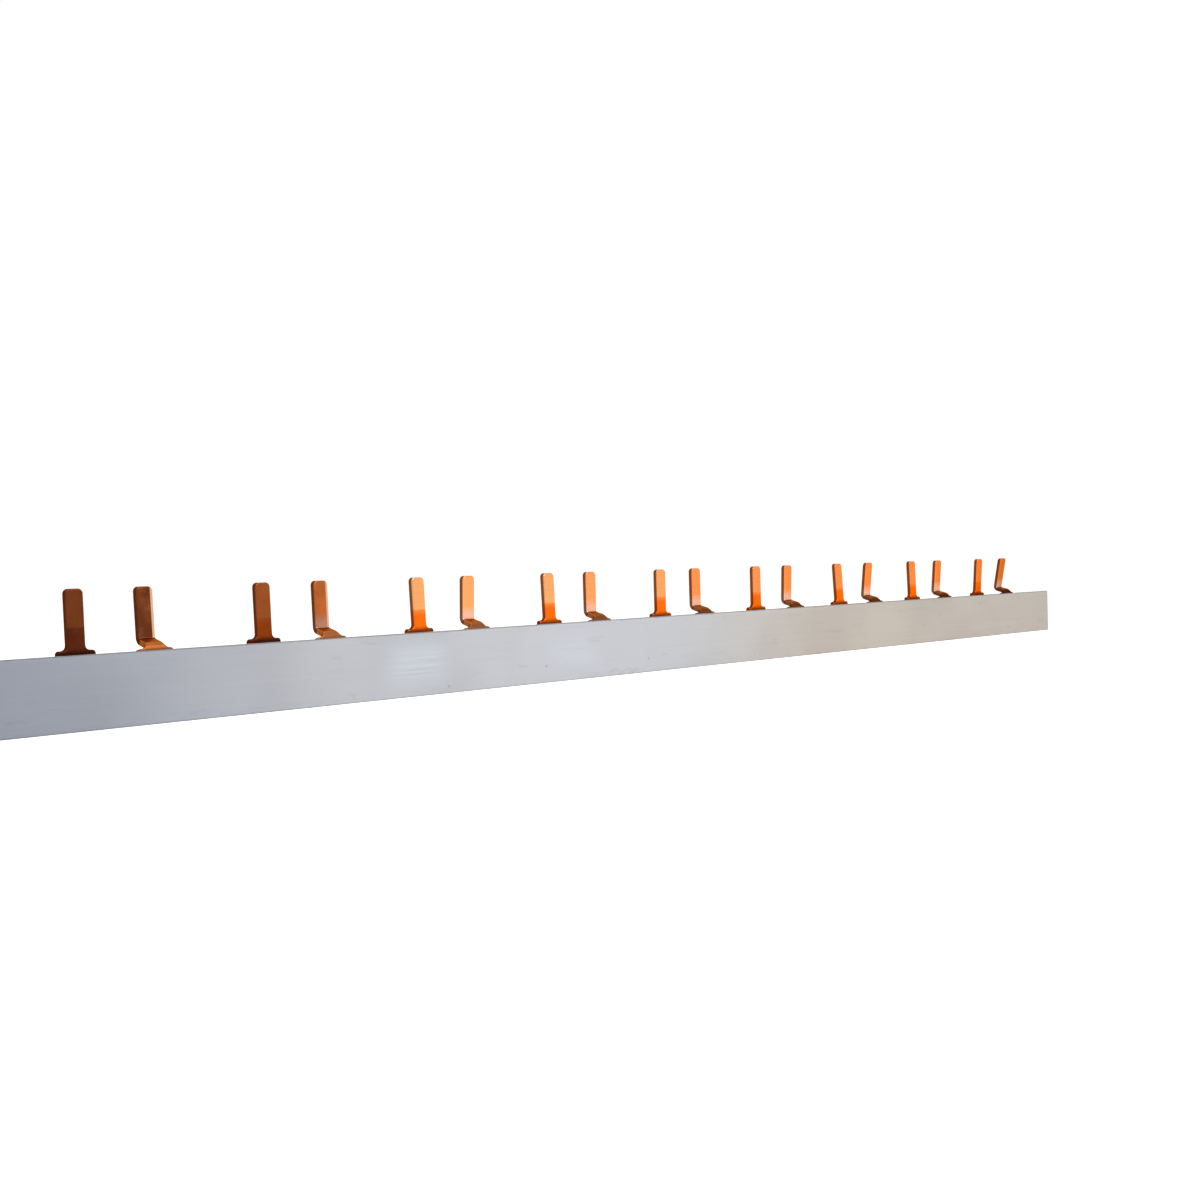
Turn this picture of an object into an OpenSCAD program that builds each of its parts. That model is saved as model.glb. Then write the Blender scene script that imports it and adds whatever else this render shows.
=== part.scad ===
// Comb busbar, two pole: an extruded insulating channel with two stamped copper combs standing in it.
// Millimetres, +Z up, bar along X, front face towards -Y.
// Origin: middle of the bar's length and depth, on the underside of the cover.

/* [Layout] */
// Number of pin pairs
pairs = 9; // [1:1:30]
// Distance from one pair to the next
pair_pitch = 50.8; // [30:0.1:90]
// Distance between the two pins of a pair, one module
pole_pitch = 17.8; // [12:0.1:27]
// Bar beyond the first pin, to the left end
lead = 25; // [8:0.5:60]
// Bar beyond the last pin, to the right end
tail = 32.4; // [8:0.1:80]

/* [Cover] */
// Height of the front wall, the tallest
cover_h = 17.4; // [12:0.1:30]
// Thickness of the front and rear walls
wall = 1.5; // [0.8:0.1:3]
// Thickness of the base
floor_t = 1.6; // [0.8:0.1:3]
// How far the rear wall stays below the front one
rear_drop = 1.2; // [0:0.1:4]
// How far the middle web stays below the front wall
web_drop = 0.6; // [0.4:0.1:4]
// Radius on the outer edges and the tops of the walls
edge_r = 0.4; // [0.1:0.05:0.7]

/* [Copper] */
// Thickness of the strip
strip_t = 1.6; // [1:0.1:3]
// Height of the strip under the pins
strip_h = 10; // [5:0.5:14]
// Gap between the strip and each channel wall
strip_gap = 0.2; // [0.1:0.05:0.5]
// How far the strips stay inside the cover's ends
strip_inset = 1.5; // [0:0.1:6]

/* [Pins] */
// Width of a pin
pin_w = 4.4; // [3:0.1:8]
// Height of a pin above the front wall
pin_h = 15; // [8:0.1:20]
// Radius on a pin's top corners
pin_r = 1.2; // [0.2:0.1:2]
// Width of the shoulder under a pin
shoulder_w = 9.4; // [6:0.1:16]
// Radius on the shoulder's corners
shoulder_r = 0.8; // [0.2:0.1:2]
// Radius between the shoulder and the pin
flare_r = 1.2; // [0.3:0.1:2]
// Height of a straight pin's shoulder above the front wall
rear_shoulder = 0.8; // [0.1:0.1:3]
// Height of a jogged pin's shoulder above the front wall
front_shoulder = 0.3; // [0:0.05:0.5]

/* [Jog] */
// Inner radius of both bends
bend_r = 0.4; // [0.2:0.1:2]
// Length of the flat tab between the bends
tab_len = 2.4; // [1:0.1:6]

/* [Hidden] */
$fn = 64;
over = 1; // how far a cutting shape reaches past what it cuts
// The tab climbs at the angle of a 7-24-25 triangle, about 16 degrees
rise = 0.28;
run = 0.96;
mitre = (1 - rise) / run; // tangent of half the angle that each bend turns
mid_r = bend_r + strip_t / 2; // centre line of the bends
out_r = bend_r + strip_t;
jog = 2 * (1 - rise) * mid_r + run * tab_len; // from the front comb's plane to the pin row
channel_w = strip_t + 2 * strip_gap;
root_r = strip_gap; // inside corners of the channels, which the strips' square edges just clear
depth = 2 * wall + channel_w + jog;
bar_l = lead + (pairs - 1) * pair_pitch + pole_pitch + tail;
strip_l = bar_l - 2 * strip_inset;
first_x = lead - bar_l / 2;
front_y = -jog / 2; // centre plane of the front comb
rear_y = jog / 2; // centre plane of the rear comb and of the pin row
strip_top = floor_t + strip_h;
seat_z = floor_t + strip_h / 2; // where a pin's outline starts, inside the strip
top_z = cover_h + pin_h;
// Handling has bent some pins: how far each tip stands back from the row, from left to right
straight_leans = [0.4, 0.5, 0.7, 0.6, 0, 0, 0.8, 0.4, -1];
jogged_leans = [0.6, 0.4, -0.5, 0, 0, -0.5, -1.3, -1, -2.3];

// Lays a drawing of the YZ plane, drawn as x = Y and y = Z, out along X, centred
module along_x(l) {
    translate([-l / 2, 0, 0]) rotate([90, 0, 90]) linear_extrude(l) children();
}

// Lays a drawing of the XZ plane, drawn as x = X and y = Z, out along Y, centred on y
module along_y(y, t) {
    translate([0, y + t / 2, 0]) rotate([90, 0, 0]) linear_extrude(t) children();
}

// A rectangle from the origin with its top corners rounded by r, as far as its width allows
module slab(w, h, r) {
    top_r = min(r, 0.45 * w);
    difference() {
        square([w, h]);
        translate([0, h]) rotate(-90) spandrel(top_r);
        translate([w, h]) rotate(180) spandrel(top_r);
    }
}

// What rounding takes off a square corner at the origin, whose material lies towards +X and +Y
module spandrel(r) {
    difference() {
        translate([-over, -over]) square(r + over);
        translate([r, r]) circle(r);
    }
}

// What a fillet adds in an inside corner at the origin, whose free side lies towards +X and +Y
module fillet(r) {
    difference() {
        translate([-r / 2, -r / 2]) square(r * 1.5);
        translate([r, r]) circle(r);
    }
}

module cover_section() {
    web_w = jog - channel_w;
    difference() {
        translate([-depth / 2, 0]) square([depth, floor_t]);
        translate([-depth / 2, 0]) spandrel(edge_r);
        translate([depth / 2, 0]) rotate(90) spandrel(edge_r);
    }
    translate([-depth / 2, floor_t / 2]) slab(wall, cover_h - floor_t / 2, edge_r);
    translate([-web_w / 2, floor_t / 2]) slab(web_w, cover_h - web_drop - floor_t / 2, edge_r);
    translate([depth / 2 - wall, floor_t / 2])
        slab(wall, cover_h - rear_drop - floor_t / 2, edge_r);
    for (y = [front_y, rear_y]) translate([y, floor_t])
        for (side = [0, 1]) mirror([side, 0]) translate([-channel_w / 2, 0]) fillet(root_r);
}

module cover() {
    color([0.82, 0.83, 0.85]) along_x(bar_l) cover_section();
}

// Outline of one pin with its shoulder, standing on the strip, its axis at x = 0
module pin_outline(shoulder_h) {
    shoulder_z = cover_h + shoulder_h;
    translate([-pin_w / 2, strip_top]) slab(pin_w, top_z - strip_top, pin_r);
    translate([-shoulder_w / 2, seat_z]) slab(shoulder_w, shoulder_z - seat_z, shoulder_r);
    for (side = [0, 1]) mirror([side, 0]) {
        translate([pin_w / 2, shoulder_z]) fillet(flare_r);
        translate([shoulder_w / 2, strip_top]) fillet(shoulder_r);
    }
}

// One pin: a length of bent sheet, its section the child, cut to the pin's outline
module pin(shoulder_h) {
    intersection() {
        along_x(shoulder_w + 2 * over) children();
        along_y(0, 2 * depth) pin_outline(shoulder_h);
    }
}

// Section of a flat sheet from z_low up to z_high, there lean further back
module sheet_section(y, z_low, z_high, lean = 0) {
    half = strip_t / 2;
    polygon([
        [y - half, z_low], [y + half, z_low], [y + half + lean, z_high], [y - half + lean, z_high]
    ]);
}

module straight_section(lean) {
    root_z = cover_h + rear_shoulder;
    sheet_section(rear_y, seat_z, root_z);
    sheet_section(rear_y, root_z, top_z, lean);
}

// Section of the jogged sheet: up in the front comb's plane, back over the web, up in the pin row
module jog_section(lean) {
    half = strip_t / 2;
    low = [front_y + mid_r, cover_h]; // centres of the two bends
    high = [rear_y - mid_r, cover_h + 2 * run * mid_r + rise * tab_len];
    difference() {
        polygon([
            [front_y - half, seat_z], [front_y + half, seat_z],
            low + bend_r * [-1, mitre], high + out_r * [1, -mitre],
            [rear_y + half, high.y], [rear_y - half, high.y],
            high + bend_r * [1, -mitre], low + out_r * [-1, mitre]
        ]);
        translate(low) bend_outside();
        translate(high) rotate(180) bend_outside();
    }
    translate(low) bend_inside();
    translate(high) rotate(180) bend_inside();
    sheet_section(rear_y, high.y, top_z, lean);
}

// The corner of a bend whose arms run r from the origin, one vertical and one along the tab
module bend_corner(r) {
    polygon([[0, 0], [-r, 0], r * [-1, mitre], r * [-rise, run]]);
}

// What rounding takes off a bend's outer corner, about its centre
module bend_outside() {
    difference() {
        bend_corner(2 * out_r);
        circle(out_r);
    }
}

// What rounding adds in a bend's inner corner, about its centre
module bend_inside() {
    difference() {
        bend_corner(mid_r);
        circle(bend_r);
    }
}

module strip(y) {
    translate([-strip_l / 2, y - strip_t / 2, floor_t]) cube([strip_l, strip_t, strip_h]);
}

module rear_comb() {
    color([0.80, 0.45, 0.25]) union() {
        strip(rear_y);
        for (i = [0 : pairs - 1]) translate([first_x + i * pair_pitch, 0, 0])
            pin(rear_shoulder) straight_section(straight_leans[i % len(straight_leans)]);
    }
}

module front_comb() {
    color([0.84, 0.49, 0.28]) union() {
        strip(front_y);
        for (i = [0 : pairs - 1]) translate([first_x + pole_pitch + i * pair_pitch, 0, 0])
            pin(front_shoulder) jog_section(jogged_leans[i % len(jogged_leans)]);
    }
}

cover();
rear_comb();
front_comb();
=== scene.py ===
"""Looks of a two-pole comb busbar: a light-grey extruded cover and two stamped copper combs.

Lengths are in metres, in the frame of the construction model: +X along the bar, -Y towards its
front wall, +Z the way the pins point, and the origin under the middle of the cover.
"""

import logging
import math
from dataclasses import dataclass, field
from enum import Enum
from typing import Callable, Iterable, Optional, Sequence

import bmesh
import bpy
from mathutils import Matrix, Vector


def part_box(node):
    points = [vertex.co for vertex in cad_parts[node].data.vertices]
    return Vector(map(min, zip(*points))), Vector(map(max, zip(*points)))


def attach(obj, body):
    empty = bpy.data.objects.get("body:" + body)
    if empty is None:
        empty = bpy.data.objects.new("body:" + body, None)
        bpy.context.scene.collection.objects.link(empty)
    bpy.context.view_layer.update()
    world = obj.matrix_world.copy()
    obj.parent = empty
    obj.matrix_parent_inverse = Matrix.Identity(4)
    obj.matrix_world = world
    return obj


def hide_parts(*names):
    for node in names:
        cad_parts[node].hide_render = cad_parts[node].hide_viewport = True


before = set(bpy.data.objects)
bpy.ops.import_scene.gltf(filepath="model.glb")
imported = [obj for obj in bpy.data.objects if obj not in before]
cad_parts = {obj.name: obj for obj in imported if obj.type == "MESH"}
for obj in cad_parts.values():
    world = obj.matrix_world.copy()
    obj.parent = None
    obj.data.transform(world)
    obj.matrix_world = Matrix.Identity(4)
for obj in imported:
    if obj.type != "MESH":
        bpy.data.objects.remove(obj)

log = logging.getLogger("comb_busbar")
MM = 0.001
Colour = tuple[float, float, float]
Flat = tuple[float, float]


class Pole(Enum):
    """Which of the two combs a piece belongs to; each name is its node's."""

    REAR = "rear_comb"
    FRONT = "front_comb"


# ---------------------------------------------------------------------------------------------
# Small tools
# ---------------------------------------------------------------------------------------------


def arc(centre: Flat, radius: float, start: float, end: float, steps: int) -> list[Flat]:
    """Gives the points of a circular arc.

    Args:
        centre: The arc's centre.
        radius: Its radius.
        start: Angle of the first point, in degrees.
        end: Angle of the last point, in degrees.
        steps: Number of chords.

    Returns:
        The points, both ends included.
    """
    angles = [math.radians(start + (end - start) * i / steps) for i in range(steps + 1)]
    return [(centre[0] + radius * math.cos(a), centre[1] + radius * math.sin(a)) for a in angles]


def rounded(corners: Sequence[tuple[float, float, float]], steps: int, rim: float) -> list[Flat]:
    """Rounds the corners of a closed outline.

    Args:
        corners: The corners in order, each with the radius that it gets.
        steps: Chords in each rounding.
        rim: Length of the short flats that keep the shading of the long ones plain.

    Returns:
        The outline's points in the same order.
    """
    points: list[Flat] = []
    count = len(corners)
    for i, (x, y, radius) in enumerate(corners):
        here = Vector((x, y))
        back = (Vector(corners[i - 1][:2]) - here).normalized()
        ahead = (Vector(corners[(i + 1) % count][:2]) - here).normalized()
        reach = radius / math.tan(back.angle(ahead) / 2)
        first, last = here + back * reach, here + ahead * reach
        centre = here + (back + ahead).normalized() * math.hypot(radius, reach)
        spoke, end = first - centre, last - centre
        turn = spoke.angle_signed(end)
        points.append(tuple(first + back * rim))
        for k in range(steps + 1):
            points.append(tuple(centre + Matrix.Rotation(-turn * k / steps, 2) @ spoke))
        points.append(tuple(last + ahead * rim))
    return points


def new_object(name: str, mesh: bpy.types.Mesh) -> bpy.types.Object:
    """Links a new object that holds the mesh and returns it."""
    made = bpy.data.objects.new(name, mesh)
    bpy.context.scene.collection.objects.link(made)
    return made


def mesh_of(
    name: str, verts: Iterable[Sequence[float]], edges: Iterable = (), faces: Iterable = ()
) -> bpy.types.Mesh:
    """Makes a mesh from plain lists and returns it."""
    made = bpy.data.meshes.new(name)
    made.from_pydata([tuple(v) for v in verts], list(edges), [tuple(f) for f in faces])
    made.update()
    return made


def plain_mesh(host: bpy.types.Object, name: str, sharp: float) -> bpy.types.Object:
    """Turns what a host's modifiers make into a plain mesh, and removes the host.

    Args:
        host: The object with live modifiers.
        name: Name of the finished piece.
        sharp: Angle in degrees past which an edge shades sharp.

    Returns:
        The finished piece, which sits at the origin.
    """
    deps = bpy.context.evaluated_depsgraph_get()
    made = bpy.data.meshes.new_from_object(
        host.evaluated_get(deps), preserve_all_data_layers=True, depsgraph=deps
    )
    host.modifiers.clear()
    bpy.data.objects.remove(host)
    work = bmesh.new()
    work.from_mesh(made)
    bmesh.ops.remove_doubles(work, verts=work.verts, dist=1e-7)
    bmesh.ops.recalc_face_normals(work, faces=work.faces)
    for face in work.faces:
        face.smooth = True
    work.to_mesh(made)
    work.free()
    made.set_sharp_from_angle(angle=math.radians(sharp))
    made.name = name
    return new_object(name, made)


# ---------------------------------------------------------------------------------------------
# Geometry trees
# ---------------------------------------------------------------------------------------------


class Nodes:
    """Adds nodes and their links to a tree."""

    def __init__(self, tree: bpy.types.NodeTree) -> None:
        """Keeps the tree that the nodes go into."""
        self.tree = tree
        self.links = tree.links

    def node(self, kind: str, links: Optional[dict] = None, **settings: object) -> bpy.types.Node:
        """Adds a node.

        Args:
            kind: The node's type.
            links: What feeds each input, by name or index: a socket, or a plain value.
            settings: Properties of the node itself.

        Returns:
            The node.
        """
        made = self.tree.nodes.new(kind)
        for key, value in settings.items():
            setattr(made, key, value)
        for key, value in (links or {}).items():
            if isinstance(value, bpy.types.NodeSocket):
                self.links.new(value, made.inputs[key])
            else:
                made.inputs[key].default_value = value
        return made

    def math(self, operation: str, *values: object, clamp: bool = False) -> bpy.types.NodeSocket:
        """Adds a math node on the values and returns its output."""
        made = self.node("ShaderNodeMath", dict(enumerate(values)), operation=operation, use_clamp=clamp)
        return made.outputs[0]


class Tree(Nodes):
    """A geometry tree that is built node by node, with named inputs."""

    def __init__(self, name: str, inputs: Sequence[tuple[str, str]]) -> None:
        """Starts a tree.

        Args:
            name: The tree's name.
            inputs: Name and kind of each input after the geometry, the kind as in NodeSocketFloat.
        """
        super().__init__(bpy.data.node_groups.new(name, "GeometryNodeTree"))
        face = self.tree.interface
        face.new_socket(name="Geometry", in_out="INPUT", socket_type="NodeSocketGeometry")
        for label, kind in inputs:
            face.new_socket(name=label, in_out="INPUT", socket_type="NodeSocket" + kind)
        face.new_socket(name="Geometry", in_out="OUTPUT", socket_type="NodeSocketGeometry")
        self.source = self.tree.nodes.new("NodeGroupInput")
        self.sink = self.tree.nodes.new("NodeGroupOutput")

    def give(self, label: str) -> bpy.types.NodeSocket:
        """Returns the tree's own input of that name."""
        return self.source.outputs[label]

    def finish(self, geometry: bpy.types.NodeSocket) -> None:
        """Ends the tree: instances are made real and the material is set."""
        real = self.node("GeometryNodeRealizeInstances", {0: geometry})
        done = self.node(
            "GeometryNodeSetMaterial", {"Geometry": real.outputs[0], "Material": self.give("Material")}
        )
        self.links.new(done.outputs[0], self.sink.inputs[0])

    def apply_to(self, host: bpy.types.Object, values: dict[str, object]) -> None:
        """Puts the tree on an object.

        Args:
            host: The object that gets the modifier.
            values: A value for each named input.
        """
        modifier = host.modifiers.new(self.tree.name, "NODES")
        modifier.node_group = self.tree
        sockets = {s.name: s.identifier for s in self.tree.interface.items_tree if s.in_out == "INPUT"}
        for label, value in values.items():
            modifier[sockets[label]] = value


def swept_channel_tree() -> Tree:
    """Builds the tree that sweeps a flat outline along the bar.

    The walls bow in a little at random along the length, more towards their free edges.

    Returns:
        The tree, whose host is the outline as a closed loop of edges in its XY plane.
    """
    tree = Tree(
        "swept_channel",
        [("Start", "Vector"), ("End", "Vector"), ("Stations", "Int"), ("Bow", "Float"),
         ("Bow Height", "Float"), ("Seed", "Float"), ("Material", "Material")],
    )
    outline = tree.node("GeometryNodeMeshToCurve", {"Mesh": tree.give("Geometry")})
    line = tree.node(
        "GeometryNodeCurvePrimitiveLine", {"Start": tree.give("Start"), "End": tree.give("End")}
    )
    rail = tree.node(
        "GeometryNodeResampleCurve", {"Curve": line.outputs[0], "Count": tree.give("Stations")}
    )
    swept = tree.node(
        "GeometryNodeCurveToMesh",
        {"Curve": rail.outputs[0], "Profile Curve": outline.outputs[0], "Fill Caps": True},
    )
    place = tree.node("GeometryNodeInputPosition")
    split = tree.node("ShaderNodeSeparateXYZ", {0: place.outputs[0]})
    along = tree.node("ShaderNodeCombineXYZ", {"X": split.outputs["X"], "Z": tree.give("Seed")})
    noise = tree.node("ShaderNodeTexNoise", {"Vector": along.outputs[0], "Scale": 14.0, "Detail": 1.0})
    lift = tree.math("DIVIDE", split.outputs["Z"], tree.give("Bow Height"), clamp=True)
    bow = tree.math("MULTIPLY", tree.math("MULTIPLY", noise.outputs[0], lift), tree.give("Bow"))
    inward = tree.math("MULTIPLY", tree.math("SIGN", split.outputs["Y"]), tree.math("MULTIPLY", bow, -1.0))
    shift = tree.node("ShaderNodeCombineXYZ", {"Y": inward})
    bowed = tree.node("GeometryNodeSetPosition", {"Geometry": swept.outputs[0], "Offset": shift.outputs[0]})
    tree.finish(bowed.outputs[0])
    return tree


def pins_on_strip_tree() -> Tree:
    """Builds the tree that stands pins along a strip.

    Each pin takes its place, its lean and its tone from a point of the host, and is welded to the
    strip.

    Returns:
        The tree, whose host holds one point for each pin.
    """
    tree = Tree(
        "pins_on_strip",
        [("Pin", "Object"), ("Strip", "Object"), ("Bend Height", "Float"), ("Tip Height", "Float"),
         ("Weld", "Float"), ("Material", "Material")],
    )
    pin = tree.node("GeometryNodeObjectInfo", {"Object": tree.give("Pin")})
    strip = tree.node("GeometryNodeObjectInfo", {"Object": tree.give("Strip")})
    stood = tree.node(
        "GeometryNodeInstanceOnPoints",
        {"Points": tree.give("Geometry"), "Instance": pin.outputs["Geometry"]},
    )
    real = tree.node("GeometryNodeRealizeInstances", {0: stood.outputs[0]})
    place = tree.node("GeometryNodeInputPosition")
    split = tree.node("ShaderNodeSeparateXYZ", {0: place.outputs[0]})
    rise = tree.math("SUBTRACT", split.outputs["Z"], tree.give("Bend Height"))
    reach = tree.math("SUBTRACT", tree.give("Tip Height"), tree.give("Bend Height"))
    share = tree.math("DIVIDE", rise, reach, clamp=True)
    lean = tree.node("GeometryNodeInputNamedAttribute", {"Name": "lean"}, data_type="FLOAT")
    push = tree.math("MULTIPLY", share, lean.outputs["Attribute"])
    shift = tree.node("ShaderNodeCombineXYZ", {"Y": push})
    bent = tree.node("GeometryNodeSetPosition", {"Geometry": real.outputs[0], "Offset": shift.outputs[0]})
    both = tree.node("GeometryNodeJoinGeometry")
    tree.links.new(bent.outputs[0], both.inputs[0])
    tree.links.new(strip.outputs["Geometry"], both.inputs[0])
    whole = tree.node(
        "GeometryNodeMergeByDistance", {"Geometry": both.outputs[0], "Distance": tree.give("Weld")}
    )
    tree.finish(whole.outputs[0])
    return tree


# ---------------------------------------------------------------------------------------------
# Finishes
# ---------------------------------------------------------------------------------------------


class Shading(Nodes):
    """Builds shader nodes inside a material, a world or a node group."""

    def ramp(self, value: bpy.types.NodeSocket, low: float, high: float) -> bpy.types.NodeSocket:
        """Returns a smooth step of the value: 0 at low and 1 at high, which may be the smaller."""
        made = self.node(
            "ShaderNodeMapRange", {"Value": value, "From Min": low, "From Max": high},
            interpolation_type="SMOOTHSTEP",
        )
        return made.outputs["Result"]

    def band(
        self, value: bpy.types.NodeSocket, centre: float, half: float, soft: float
    ) -> bpy.types.NodeSocket:
        """Returns 1 within half of the centre, falling to 0 over the soft length beyond it."""
        off = self.math("ABSOLUTE", self.math("SUBTRACT", value, centre))
        return self.ramp(off, half + soft, half)

    def mix(self, share: object, first: object, second: object) -> bpy.types.NodeSocket:
        """Returns a colour that goes from the first to the second as the share goes from 0 to 1."""
        made = self.node("ShaderNodeMix", data_type="RGBA")
        sockets = {0: share, 6: first, 7: second}
        for key, value in sockets.items():
            if isinstance(value, bpy.types.NodeSocket):
                self.links.new(value, made.inputs[key])
            elif key == 0:
                made.inputs[0].default_value = value
            else:
                made.inputs[key].default_value = (*value[:3], 1.0)
        return made.outputs[2]

    def use(self, group: bpy.types.NodeTree, where: bpy.types.NodeSocket, **values: float) -> dict:
        """Adds a shared effect.

        Args:
            group: The effect's node group.
            where: The place that its pattern follows.
            values: Its settings, with an underscore for each space in a name.

        Returns:
            Its outputs by name.
        """
        made = self.node("ShaderNodeGroup", node_tree=group)
        self.links.new(where, made.inputs["Vector"])
        for key, value in values.items():
            made.inputs[key.replace("_", " ")].default_value = value
        return {socket.name: socket for socket in made.outputs}

    def attribute(self, name: str) -> bpy.types.NodeSocket:
        """Returns a number that the mesh carries under that name."""
        return self.node(
            "ShaderNodeAttribute", attribute_name=name, attribute_type="GEOMETRY"
        ).outputs["Fac"]


def effect(
    name: str,
    inputs: Sequence[tuple[str, str, object]],
    outputs: Sequence[tuple[str, str]],
    wire: Callable[[Shading, bpy.types.Node, bpy.types.Node], None],
) -> bpy.types.NodeTree:
    """Builds a shader node group.

    Args:
        name: The group's name.
        inputs: Name, kind and first value of each input.
        outputs: Name and kind of each output.
        wire: Adds the nodes, given a builder and the group's input and output nodes.

    Returns:
        The group.
    """
    group = bpy.data.node_groups.new(name, "ShaderNodeTree")
    for label, kind, value in inputs:
        socket = group.interface.new_socket(name=label, in_out="INPUT", socket_type="NodeSocket" + kind)
        if value is not None:
            socket.default_value = value
    for label, kind in outputs:
        group.interface.new_socket(name=label, in_out="OUTPUT", socket_type="NodeSocket" + kind)
    wire(Shading(group), group.nodes.new("NodeGroupInput"), group.nodes.new("NodeGroupOutput"))
    return group


def drawn_lines() -> bpy.types.NodeTree:
    """Builds the fine lines that run along the bar, left by the die or the rolls."""

    def wire(nodes: Shading, given: bpy.types.Node, result: bpy.types.Node) -> None:
        """Adds noise stretched along X, coarse and fine, broken up by a slower one."""
        stretch = nodes.node("ShaderNodeCombineXYZ", {"X": given.outputs["Stretch"], "Y": 1.0, "Z": 1.0})
        drawn = nodes.node(
            "ShaderNodeVectorMath",
            {0: given.outputs["Vector"], 1: stretch.outputs[0]},
            operation="MULTIPLY"
        )
        coarse = nodes.node(
            "ShaderNodeTexNoise",
            {"Vector": drawn.outputs[0], "Scale": given.outputs["Scale"], "Detail": 3.0, "Roughness": 0.6}
        )
        fine_scale = nodes.math("MULTIPLY", given.outputs["Scale"], 3.7)
        fine = nodes.node(
            "ShaderNodeTexNoise", {"Vector": drawn.outputs[0], "Scale": fine_scale, "Detail": 2.0}
        )
        both = nodes.math(
            "ADD",
            nodes.math("MULTIPLY", coarse.outputs[0], 0.65),
            nodes.math("MULTIPLY", fine.outputs[0], 0.35)
        )
        nodes.links.new(nodes.ramp(both, 0.36, 0.64), result.inputs["Lines"])

    return effect(
        "drawn_lines",
        [("Vector", "Vector", None), ("Scale", "Float", 900.0), ("Stretch", "Float", 0.02)],
        [("Lines", "Float")],
        wire,
    )


def handling_marks() -> bpy.types.NodeTree:
    """Builds sparse specks and short scuffs, such as handling leaves on any surface."""

    def wire(nodes: Shading, given: bpy.types.Node, result: bpy.types.Node) -> None:
        """Adds specks from a sparse cell pattern, and scuffs from turned, stretched noise."""
        cells = nodes.node(
            "ShaderNodeTexVoronoi",
            {"Vector": given.outputs["Vector"], "Scale": given.outputs["Speck Scale"], "Randomness": 1.0}
        )
        chosen = nodes.node("ShaderNodeSeparateColor", {0: cells.outputs["Color"]})
        rare = nodes.math("GREATER_THAN", chosen.outputs[0], given.outputs["Speck Rarity"])
        small = nodes.ramp(cells.outputs["Distance"], 0.24, 0.1)
        nodes.links.new(nodes.math("MULTIPLY", rare, small), result.inputs["Specks"])
        turned = nodes.node(
            "ShaderNodeMapping",
            {"Vector": given.outputs["Vector"], "Rotation": (0.3, 0.5, 0.4), "Scale": (1.0, 4.0, 5.0)}
        )
        noise = nodes.node(
            "ShaderNodeTexNoise",
            {
                "Vector": turned.outputs[0],
                "Scale": given.outputs["Scuff Scale"],
                "Detail": 4.0,
                "Roughness": 0.7
            }
        )
        nodes.links.new(nodes.ramp(noise.outputs[0], 0.6, 0.72), result.inputs["Scuffs"])

    return effect(
        "handling_marks",
        [
            ("Vector", "Vector", None),
            ("Speck Scale", "Float", 300.0),
            ("Speck Rarity", "Float", 0.9),
            ("Scuff Scale", "Float", 90.0)
        ],
        [("Specks", "Float"), ("Scuffs", "Float")],
        wire,
    )


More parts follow.
